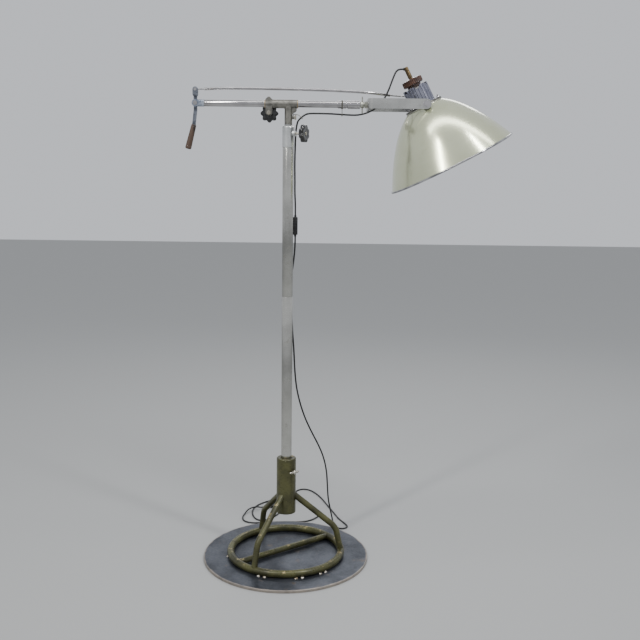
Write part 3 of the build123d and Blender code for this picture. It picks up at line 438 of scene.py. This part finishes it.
def extruded(name, outline, thickness, place, slot, edge=0.8):
    """A flat piece with softened edges, from a 2-D outline in the place's XY plane."""
    work = bmesh.new()
    half = thickness / 2
    verts = [work.verts.new((place @ Vector((x, y, -half))) * MM) for x, y in outline]
    face = work.faces.new(verts)
    grown = bmesh.ops.extrude_face_region(work, geom=[face])["geom"]
    lift = (place.to_3x3() @ Vector((0, 0, thickness))) * MM
    bmesh.ops.translate(work, vec=lift, verts=[g for g in grown if isinstance(g, bmesh.types.BMVert)])
    bmesh.ops.recalc_face_normals(work, faces=work.faces)
    mesh = bpy.data.meshes.new(name)
    work.to_mesh(mesh)
    work.free()
    obj = finish_mesh(name, mesh, slot)
    soften(obj, edge)
    return obj


def soften(obj, width, segments=3, weld=False):
    if weld:
        merge = obj.modifiers.new("weld", "WELD")
        merge.merge_threshold = 0.00001
    bevel = obj.modifiers.new("bevel", "BEVEL")
    bevel.width = width * MM
    bevel.segments = segments
    bevel.limit_method = "ANGLE"
    bevel.angle_limit = math.radians(35)
    bevel.use_clamp_overlap = True
    normals = obj.modifiers.new("normals", "WEIGHTED_NORMAL")
    normals.keep_sharp = False


def axis_place(origin, direction, side=(0, 0, 1)):
    """A frame in millimetres whose +Z runs along a direction."""
    z = Vector(direction).normalized()
    x = Vector(side) - z * Vector(side).dot(z)
    x = x.normalized() if x.length > 1e-6 else z.orthogonal().normalized()
    y = z.cross(x)
    place = Matrix((x, y, z)).transposed().to_4x4()
    place.translation = Vector(origin)
    return place


UPRIGHT = Matrix.Identity(4)
ARM = axis_place((0, 0, ARM_Z), (1, 0, 0))
HEAD = Matrix.Translation((HEAD_X, 0, ARM_Z)) @ Matrix.Rotation(math.radians(-HEAD_TILT), 4, "Y")


# Cords. The points are the centre line's control points, in millimetres.

def gland_point(back):
    centre = HEAD @ Vector((0, 0, 134))
    return (centre.x - back, 0, centre.z)


ARM_CLIP = (182, 0, 1591.5)
CORD_MIDDLE = (90, 0, 1594)
TEE_CLIP = (44, 0, 1580)
SWITCH_TOP = (25.5, 18, 1249)
SWITCH_BOTTOM = (25.5, 18, 1175)
FLOOR_Z = 3.1
HUMP_Z = 15.5
PLUG_Z = 7.1

HEAD_ROUTE = [
    gland_point(11),
    gland_point(23.5),
    (362, -1, 1736.3),
    (354, -4, 1718.5),
    (346, -8, 1697),
    (337, -12, 1672),
    (323, -15, 1643),
    (300, -13, 1616),
    (271, -8, 1598.5),
    (241, -3, 1590.5),
    (212, 0, 1589.7),
    ARM_CLIP,
]
ARM_OUTER_ROUTE = [ARM_CLIP, (152, 0, 1593.3), (121, 0, 1594), CORD_MIDDLE]
ARM_INNER_ROUTE = [CORD_MIDDLE, (73, 0, 1594), (57, -1, 1590.5), TEE_CLIP]
POST_ROUTE = [
    TEE_CLIP,
    (32.95, 0.85, 1571.075),
    (28, 5, 1552),
    (25, 10, 1528),
    (23.5, 12.5, 1480),
    (22.5, 13, 1425),
    (23.5, 12, 1370),
    (23.5, 14, 1325),
    (25.5, 18, 1285),
    SWITCH_TOP,
]
FLOOR_ROUTE = [
    SWITCH_BOTTOM,
    (25.5, 18, 1137),
    (20, 23, 1082),
    (11, 26, 1030),
    (8.5, 26, 975),
    (14, 22, 905),
    (18, 21, 840),
    (24, 20, 770),
    (27, 24, 700),
    (33, 37, 630),
    (47, 58, 562),
    (66, 88, 497),
    (91, 124, 433),
    (116, 165, 373),
    (136, 207, 312),
    (149, 245, 243),
    (153, 276, 172),
    (157, 304, 105),
    (168, 318, 48),
    (177, 309, FLOOR_Z + 6),
    (182, 284, FLOOR_Z),
    (190, 261, FLOOR_Z),
    (205, 247, FLOOR_Z),
    (227, 251, FLOOR_Z),
    (237, 272, FLOOR_Z),
    (224, 304, FLOOR_Z),
    (203, 345, FLOOR_Z),
    (187, 396, FLOOR_Z),
    (171, 450, FLOOR_Z),
    (153, 505, FLOOR_Z),
    (137, 560, FLOOR_Z),
    (117, 612, FLOOR_Z),
    (94, 655, FLOOR_Z),
    (72, 678, FLOOR_Z),
    (48, 684, FLOOR_Z),
    (27, 671, FLOOR_Z),
    (16, 644, FLOOR_Z),
    (9, 606, FLOOR_Z),
    (1, 560, FLOOR_Z),
    (-9, 513, FLOOR_Z),
    (-21, 466, FLOOR_Z),
    (-36, 420, FLOOR_Z),
    (-54, 376, FLOOR_Z),
    (-79, 337, FLOOR_Z),
    (-108, 318, FLOOR_Z),
    (-134, 331, FLOOR_Z),
    (-150, 371, FLOOR_Z),
    (-156, 414, FLOOR_Z),
    (-152, 453, FLOOR_Z),
    (-138, 488, FLOOR_Z),
    (-113, 519, FLOOR_Z),
    (-78, 547, FLOOR_Z),
    (-22, 563, HUMP_Z),
    (27, 546, HUMP_Z),
    (72, 503, FLOOR_Z),
    (101, 462, FLOOR_Z),
    (121, 428, FLOOR_Z),
    (126, 392, FLOOR_Z),
    (108, 350, FLOOR_Z),
    (75, 317, FLOOR_Z),
    (30, 309, FLOOR_Z),
    (-18, 310, FLOOR_Z),
    (-66, 304, FLOOR_Z),
    (-110, 296, FLOOR_Z),
    (-150, 294, FLOOR_Z),
    (-180, 310, FLOOR_Z),
    (-191, 342, FLOOR_Z),
    (-187, 383, FLOOR_Z),
    (-169, 417, HUMP_Z),
    (-140, 438, HUMP_Z),
    (-120, 449, PLUG_Z),
    (-99, 458, PLUG_Z),
]


def centre_line(route):
    """Points, in metres, read from the smooth spline that a route controls."""
    curve = bpy.data.curves.new("line", "CURVE")
    curve.dimensions = "3D"
    curve.resolution_u = 8
    spline = curve.splines.new("NURBS")
    spline.points.add(len(route) - 1)
    for point, place in zip(spline.points, route):
        point.co = (place[0] * MM, place[1] * MM, place[2] * MM, 1)
    spline.order_u = 3
    spline.use_endpoint_u = True
    holder = bpy.data.objects.new("line", curve)
    bpy.context.scene.collection.objects.link(holder)
    bpy.context.view_layer.update()
    mesh = bpy.data.meshes.new_from_object(holder)
    line = [v.co.copy() for v in mesh.vertices]
    bpy.data.objects.remove(holder)
    bpy.data.curves.remove(curve)
    bpy.data.meshes.remove(mesh)
    return line


def cord_tube(name, route, node):
    """A round tube along a route's spline. Its rings keep square to the line without twist."""
    line = centre_line(route)
    rings = []
    side = None
    for i, point in enumerate(line):
        heading = (line[min(i + 1, len(line) - 1)] - line[max(i - 1, 0)]).normalized()
        if side is None:
            side = heading.orthogonal().normalized()
        side = (side - heading * side.dot(heading)).normalized()
        up = heading.cross(side)
        turns = [2 * math.pi * k / 16 for k in range(16)]
        rings.append([point / MM + (side * math.cos(t) + up * math.sin(t)) * CORD_RADIUS for t in turns])
    tube = from_rings(name, rings, "cord_black")
    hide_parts(node)
    return tube, [tuple(p) for p in line]


def declare_cord(name, route, node):
    tube, line = cord_tube(name, route, node)
    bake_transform(tube)
    return tube


declare_cord("cord_to_head", HEAD_ROUTE, "cord_head")
declare_cord(
    "cord_on_arm", ARM_OUTER_ROUTE, "cord_arm_outer",
)
declare_cord(
    "cord_by_tee", ARM_INNER_ROUTE, "cord_arm_inner",
)
declare_cord(
    "cord_by_mast", POST_ROUTE, "cord_post",
)
declare_cord(
    "cord_to_floor", FLOOR_ROUTE, "cord_floor",
)


# CAD nodes that stay: their materials and softened edges

for part in frame["record"]["subparts"]:
    slots = nodes[part["node"]].material_slots
    for slot in slots:
        slot.material = mats[part["material_slot"]]

SOFT_EDGES = {
    "ring_crossbar": 0.5,
    "leg_right": 0.4,
    "leg_back_left": 0.4,
    "leg_front_left": 0.4,
    "hub_socket": 1.0,
    "mast_top_collar": 0.6,
    "inner_post": 0.4,
    "post_spigot": 0.4,
    "tee_clamp": 1.0,
    "arm_liner": 0.3,
    "arm_clamp_bolt": 0.6,
    "tee_thumb_screw": 0.7,
    "arm_end_fork": 0.9,
    "lever_pivot_bolt": 0.7,
    "yoke_stud": 0.7,
    "tommy_nut": 0.6,
    "tilt_lever": 0.6,
    "rod_pin": 0.5,
    "rod_end_studs": 0.3,
    "yoke_pivot_bolts": 0.7,
    "pivot_bracket": 0.9,
    "crank_pin": 0.5,
    "collar_plate": 0.5,
    "neck_casting": 0.9,
    "switch_slider": 0.3,
    "plug_pins": 0.8,
}
for node, width in SOFT_EDGES.items():
    soften(nodes[node], width, 2, weld=True)


# Base

plate = lathe(
    "plate",
    rounded([(0, 0), (PLATE_RADIUS, 0), (PLATE_RADIUS, PLATE_THICKNESS), (0, PLATE_THICKNESS)], 1.6),
    UPRIGHT, "plate_steel", 256,
)
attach(plate, "stand")
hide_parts("base_plate")


def round_section(centre, height, radius, sides):
    """A circle for lathe to sweep into a ring."""
    turns = [2 * math.pi * k / sides for k in range(sides)]
    return [(centre + radius * math.cos(t), height + radius * math.sin(t)) for t in turns]


def level_direction(azimuth):
    t = math.radians(azimuth)
    return Vector((math.cos(t), math.sin(t), 0))


ring_section = round_section(RING_RADIUS, RING_Z, RING_TUBE_RADIUS, 40)
ring = lathe("ring", ring_section, UPRIGHT, "olive_paint", 256, closed=True)
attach(ring, "stand")
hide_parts("base_ring")

WELD_AZIMUTHS = (246, 252, 282, 288, 307, 313, 20, 80, 140, 190)
dice = random.Random(4)
beads = []
for number, azimuth in enumerate(WELD_AZIMUTHS):
    t = math.radians(azimuth)
    middle = Vector((WELD_RADIUS * math.cos(t), WELD_RADIUS * math.sin(t), PLATE_THICKNESS))
    place = axis_place(middle, (-math.sin(t), math.cos(t), 0))
    length = dice.uniform(6.0, 8.0)
    rings = []
    for i in range(21):
        u = -1 + i / 10
        size = 0.3 + 4.7 * math.sqrt(max(0, 1 - u ** 4)) * (0.92 + 0.08 * math.cos(9.4 * u + number))
        circle = []
        for k in range(20):
            a = 2 * math.pi * k / 20
            lump = 1 + 0.12 * noise.noise(Vector((3 * u, 2 * math.cos(a) + number, 2 * math.sin(a))))
            p = place @ Vector((size * lump * math.cos(a), size * lump * math.sin(a), u * length))
            circle.append((p.x, p.y, max(p.z, PLATE_THICKNESS)))
        rings.append(circle)
    beads.append(from_rings(f"weld_bead_{number}", rings, "weld_metal", angle=80))
for weld_bead in beads:
    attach(weld_bead, "stand")
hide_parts("ring_weld_tacks")


# Hub and its screw

HUB_OUT = level_direction(HUB_SCREW_AZIMUTH)
hub_point = Vector((0, 0, HUB_SCREW_Z))
hub_screw = lathe(
    "hub_screw_stem",
    rounded([(0, 19.3), (4, 19.3), (4, 37), (6.2, 37.2), (7.6, 40), (7.6, 50), (5.5, 53), (0, 53.2)], 0.9),
    axis_place(hub_point, HUB_OUT), "screw_steel", 48,
)
hub_wings = lathe(
    "hub_screw_wings",
    rounded(
        [
            (0, -19.5), (3.2, -19.5), (4.2, -16), (3.4, -9), (2.6, 0),
            (3.4, 9), (4.2, 16), (3.2, 19.5), (0, 19.5),
        ],
        2,
    ),
    axis_place(hub_point + HUB_OUT * 46, (-HUB_OUT.y, HUB_OUT.x, 0)), "screw_steel", 32,
)
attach(hub_screw, "hub_screw")
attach(hub_wings, "hub_screw")
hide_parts("hub_wing_screw")


# Mast

for name, node, low, high in (
    ("mast_lower", "mast_lower_tube", 190, 965.8),
    ("mast_upper", "mast_upper_tube", 966.2, 1480),
):
    wall = [(16, low), (18.6, low), (19, low + 0.9), (19, high - 0.9), (18.6, high), (16, high)]
    tube = lathe(name, wall, UPRIGHT, "mast_satin", 96, closed=True)
    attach(tube, "stand")
    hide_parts(node)


def star_knob(name, place):
    """An eight-lobed moulded knob with rolled edges and a dished face; its metal bush is made separately."""
    shape = [
        (10.2, 0, -8.4), (11, 0, -7.8), (11, 0, -1.6), (12.5, 0, -0.3), (18, 1.2, 0.1), (22.4, 3.6, 0.6),
        (24.4, 5.3, 1.8), (25, 5.9, 3.6), (25.1, 6, 6), (25.1, 6, 10), (25, 5.9, 12.4), (24.4, 5.2, 14.2),
        (
            22.6, 4, 15.5), (19.5, 2.6, 16), (16, 1, 15.9), (12, 0, 14.9), (8.6, 0, 14.6), (8.2, 0,
            14.9), (0, 0, 15,
        ),
    ]
    rings = []
    for core, lobe, z in shape:
        if core == 0:
            rings.append([place @ Vector((0, 0, z))])
            continue
        ring_points = []
        for k in range(160):
            a = 2 * math.pi * k / 160
            r = core + lobe * (0.5 - 0.5 * math.cos(8 * a)) ** 0.7
            ring_points.append(place @ Vector((r * math.cos(a), r * math.sin(a), z)))
        rings.append(ring_points)
    return from_rings(name, rings, "bakelite_black", angle=60)


KNOB_OUT = level_direction(MAST_KNOB_AZIMUTH)
knob_point = Vector((0, 0, MAST_KNOB_Z))
mast_knob = star_knob("mast_knob_star", axis_place(knob_point + KNOB_OUT * MAST_KNOB_REACH, KNOB_OUT))
mast_stem = lathe(
    "mast_knob_stem", rounded([(0, 13.8), (4, 13.8), (4, 44), (0, 44)], 0.6),
    axis_place(knob_point, KNOB_OUT), "screw_steel", 40,
)
mast_bush = lathe(
    "mast_knob_bush", rounded([(0, 66), (6.5, 66), (6.5, 67.9), (3, 68), (0, 67)], 0.5),
    axis_place(knob_point, KNOB_OUT), "screw_steel", 40,
)
for piece in (mast_knob, mast_stem, mast_bush):
    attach(piece, "mast_knob")
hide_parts("mast_star_knob")

half_lobe = math.radians(22.5)
arm_knob_place = axis_place(
    Vector(ARM_KNOB_CENTRE) + Vector((0, 24, 0)), (0, 1, 0), (math.sin(half_lobe), 0, math.cos(half_lobe))
)
arm_knob = star_knob("arm_knob_star", arm_knob_place)
arm_bush = lathe(
    "arm_knob_bush", rounded([(0, 38), (6.5, 38), (6.5, 39.9), (3, 40), (0, 39)], 0.5),
    axis_place(ARM_KNOB_CENTRE, (0, 1, 0)), "screw_steel", 40,
)
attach(arm_knob, "arm_knob")
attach(arm_bush, "arm_knob")
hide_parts("arm_star_knob")


# Arm

arm_wall = [(9, -286), (10.7, -286), (11, -285.4), (11, 235.4), (10.7, 236), (9, 236)]
arm = lathe("arm", arm_wall, ARM, "chrome_bright", 80, closed=True)
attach(arm, "arm")
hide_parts("arm_tube")

inner_wall = rounded([
    (11.05, 168), (12.2, 168), (12.9, 168.8), (12.9, 173), (12.4, 173.6), (12.9, 174.2), (12.9, 190),
    (12.4, 190.6), (12.9, 191.2), (12.9, 195.2), (12.2, 196), (11.05, 196),
], 0.3)
ferrule_inner = lathe("ferrule_inner", inner_wall, ARM, "chrome_bright", 80, closed=True)
outer_wall = rounded([
    (11.05, 200), (13, 200), (14, 201.5), (14, 207), (13.3, 208), (14, 209), (14, 234),
    (13.3, 235), (14, 236), (14, 241.6), (12.6, 243), (6.1, 243), (6.1, 237), (11.05, 236.5),
], 0.4)
ferrule_outer = lathe("ferrule_outer", outer_wall, ARM, "chrome_bright", 80, closed=True)
for piece, node in ((ferrule_inner, "arm_ferrule_inner"), (ferrule_outer, "arm_ferrule_outer")):
    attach(piece, "arm")
    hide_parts(node)


# Grip

def grip_point(distance):
    slant = math.radians(14.7)
    return Vector((-321 - distance * math.sin(slant), 0, 1552 - distance * math.cos(slant)))


grip_outline = rounded([
    (0, -0.2), (7.4, -0.2), (8.6, 1.2), (8.7, 5), (8.1, 6), (8.8, 7), (9.6, 40), (10.5, 72), (9.9, 73.2),
    (10.6, 74.4), (10.6, 80), (8.6, 83.4), (5, 84), (0, 84),
], 1.0)
grip = lathe("grip", grip_outline, axis_place(grip_point(0), grip_point(1) - grip_point(0)), "grip_fibre", 64)
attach(grip, "lever")
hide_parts("lever_grip")


# Shade. Heights are in the head's own frame.

RIM, TOP, CURVE = 223.0, 65.0, 217.0


def bowl_height(radius):
    return COLLAR_PLANE - (radius ** 2 - TOP ** 2) / CURVE


steps = [TOP + (RIM - TOP) * i / 48 for i in range(49)]
outside = [(50, COLLAR_PLANE), (62, COLLAR_PLANE), (64, -5.05)] + [(r, bowl_height(r)) for r in steps]
inside = [(r - 1.6, bowl_height(r) - 0.6) for r in reversed(steps[1:])] + [(63, -6.7), (60, -6.5), (50, -6.4)]
inside[0] = (RIM - 1.6, bowl_height(RIM))
bowl = lathe("shade_bowl", outside + inside, HEAD, "shade_lacquer", 256, closed=True, angle=50)
bowl.data.materials.append(mats["reflector"])
for polygon in bowl.data.polygons:
    if len(outside) * 256 <= polygon.index < (len(outside) + len(inside) - 1) * 256:
        polygon.material_index = 1
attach(bowl, "head")
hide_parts("shade")

bead_section = round_section(RIM - 0.4, bowl_height(RIM), 3.4, 24)
shade_bead = lathe("shade_bead", bead_section, HEAD, "rim_chrome", 256, closed=True)
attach(shade_bead, "head")
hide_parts("shade_rim")


# Neck: cap, stem and gland

cap_shape = [
    (20.7, 0, 67), (24, 0, 67), (24, 0, 75.8), (31.5, 0, 76), (33.6, 0, 76.6), (34.6, 0, 78), (34.5, 0.5, 80),
    (34.3, 0.7, 84), (34.3, 0.7, 90), (34.5, 0.5, 93.5), (34.8, 0, 95), (34.2, 0, 96.4), (32, 0, 97.1),
    (22, 0, 98.2), (14, 0, 98.6), (10.6, 0, 100.4), (7.52, 0, 100.6),
]
cap_rings = []
for core, flute, z in cap_shape:
    points = []
    for k in range(192):
        a = 2 * math.pi * k / 192
        r = core + flute * math.cos(32 * a)
        points.append(HEAD @ Vector((r * math.cos(a), r * math.sin(a), z)))
    cap_rings.append(points)
cap = from_rings("cap", cap_rings, "bakelite_brown", caps=False, angle=40)
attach(cap, "head")
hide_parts("socket_cap")

stem_outline = rounded([
    (
        0, 83), (7.5, 83), (7.5, 124), (6.9, 125), (7.5, 126), (7.5, 139.4), (5.6, 141), (3, 141), (3,
        140), (0, 140,
    ),
], 0.5)
stem = lathe("stem", stem_outline, HEAD, "stem_brass", 64)
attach(stem, "head")
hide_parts("cap_stem")

GLAND = axis_place(gland_point(0), (-1, 0, 0))
gland_outline = rounded([
    (0, 5), (4.5, 5), (5.2, 8.6), (5.2, 9.4), (4.3, 9.8), (3.7, 10.6), (3.2, 11), (0, 11),
], 0.4)
gland = lathe("gland", gland_outline, GLAND, "gland_black", 48)
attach(gland, "head")
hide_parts("cord_gland")

holder_outline = rounded([
    (
        14.3, -22.8), (17.4, -23), (19.4, -21.5), (19.4, -10), (20, -9), (20, 20), (18.6, 22), (18.6,
        48), (20, 50,
    ),
    (20, 71), (18.5, 72), (0, 72),
], 1.2)
holder = lathe("lampholder_body", holder_outline + [(0, 14.8), (14.3, 14.8)], HEAD, "porcelain", 80)
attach(holder, "head")
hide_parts("lampholder")

bulb_outline = [
    (0, -25.2), (13.2, -25.2), (13.5, -32), (14.2, -39), (17.5, -50), (23, -61), (27.6, -72), (29.7, -82),
    (30, -88), (29.0, -96), (25.8, -104.4), (20.2, -111.2), (12.5, -115.4), (5, -116.8), (0, -117),
]
bulb = lathe("bulb", rounded(bulb_outline, 3, 3), HEAD, "bulb_clear", 80, angle=70)
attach(bulb, "head")
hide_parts("bulb_glass")


# Wing nuts on the shade's studs

def wing_outline(side):
    outline = [
        (
            2.5, 8), (4.5, 8.6), (8.6, 12.4), (9.6, 15.6), (8.8, 18.8), (6.2, 19.8), (4.6, 17), (3.6,
            13), (2.5, 13.5,
        ),
    ]
    return [(side * x, z) for x, z in rounded(outline, 1.4)]


for number, azimuth in enumerate((0, 140, 220)):
    t = math.radians(azimuth)
    seat = HEAD @ Matrix.Translation((56 * math.cos(t), 56 * math.sin(t), COLLAR_PLANE))
    stud = lathe(
        f"wing_nut_{number}",
        rounded([
            (
                0, -5), (2.5, -5), (2.5, -4.5), (5, -4.5), (5, -1.8), (2.5, -1.7), (2.5, 8.1), (5.6,
                8.1), (5.2, 10,
            ),
            (4.2, 14), (2.5, 14.4), (2.5, 15.2), (1.8, 15.8), (0, 15.8),
        ], 0.4),
        seat, "chrome_bright", 40,
    )
    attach(stud, "head")
    if number == 0:
        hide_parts("shade_wing_nuts")
    for side in (-1, 1):
        upright_place = seat @ Matrix(((0, 0, 1, 0), (1, 0, 0, 0), (0, 1, 0, 0), (0, 0, 0, 1)))
        name = f"wing_{number}_{'ab'[side > 0]}"
        wing = extruded(name, wing_outline(side), 2.4, upright_place, "chrome_bright", 0.9)
        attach(wing, "head")


# Floor, light and air around

floor_mesh = bpy.data.meshes.new("floor")
floor_mesh.from_pydata([(-14, -14, 0), (14, -14, 0), (14, 14, 0), (-14, 14, 0)], [], [(0, 1, 2, 3)])
floor = bpy.data.objects.new("floor", floor_mesh)
bpy.context.scene.collection.objects.link(floor)
floor_mesh.materials.append(new_material("floor_grey", Base_Color=(0.40, 0.405, 0.40, 1), Roughness=0.7))

world = bpy.data.worlds.new("air")
world.use_nodes = True
world.node_tree.nodes["Background"].inputs[0].default_value = (0.70, 0.72, 0.76, 1)
world.node_tree.nodes["Background"].inputs[1].default_value = 0.95
bpy.context.scene.world = world


def area_light(name, place, target, size, energy, color=(1, 1, 1)):
    data = bpy.data.lights.new(name, "AREA")
    data.shape = "RECTANGLE"
    data.size, data.size_y = size
    data.energy = energy
    data.color = color
    light = bpy.data.objects.new(name, data)
    light.location = place
    light.rotation_euler = (Vector(target) - Vector(place)).to_track_quat("-Z", "Y").to_euler()
    bpy.context.scene.collection.objects.link(light)


area_light("key", (-1.8, -2.3, 3.8), (0.2, 0, 1.2), (0.2, 1.6), 60, (1, 0.985, 0.96))
area_light("fill", (1.9, -1.5, 4.1), (0.4, 0, 1.3), (0.25, 1.8), 66, (0.97, 0.98, 1))
area_light("strip", (0.3, -0.5, 3.5), (0.2, 0, 1.2), (3.2, 0.25), 22)
area_light("back", (0.6, 3.0, 3.0), (0.1, 0, 1.2), (2.4, 0.6), 26)
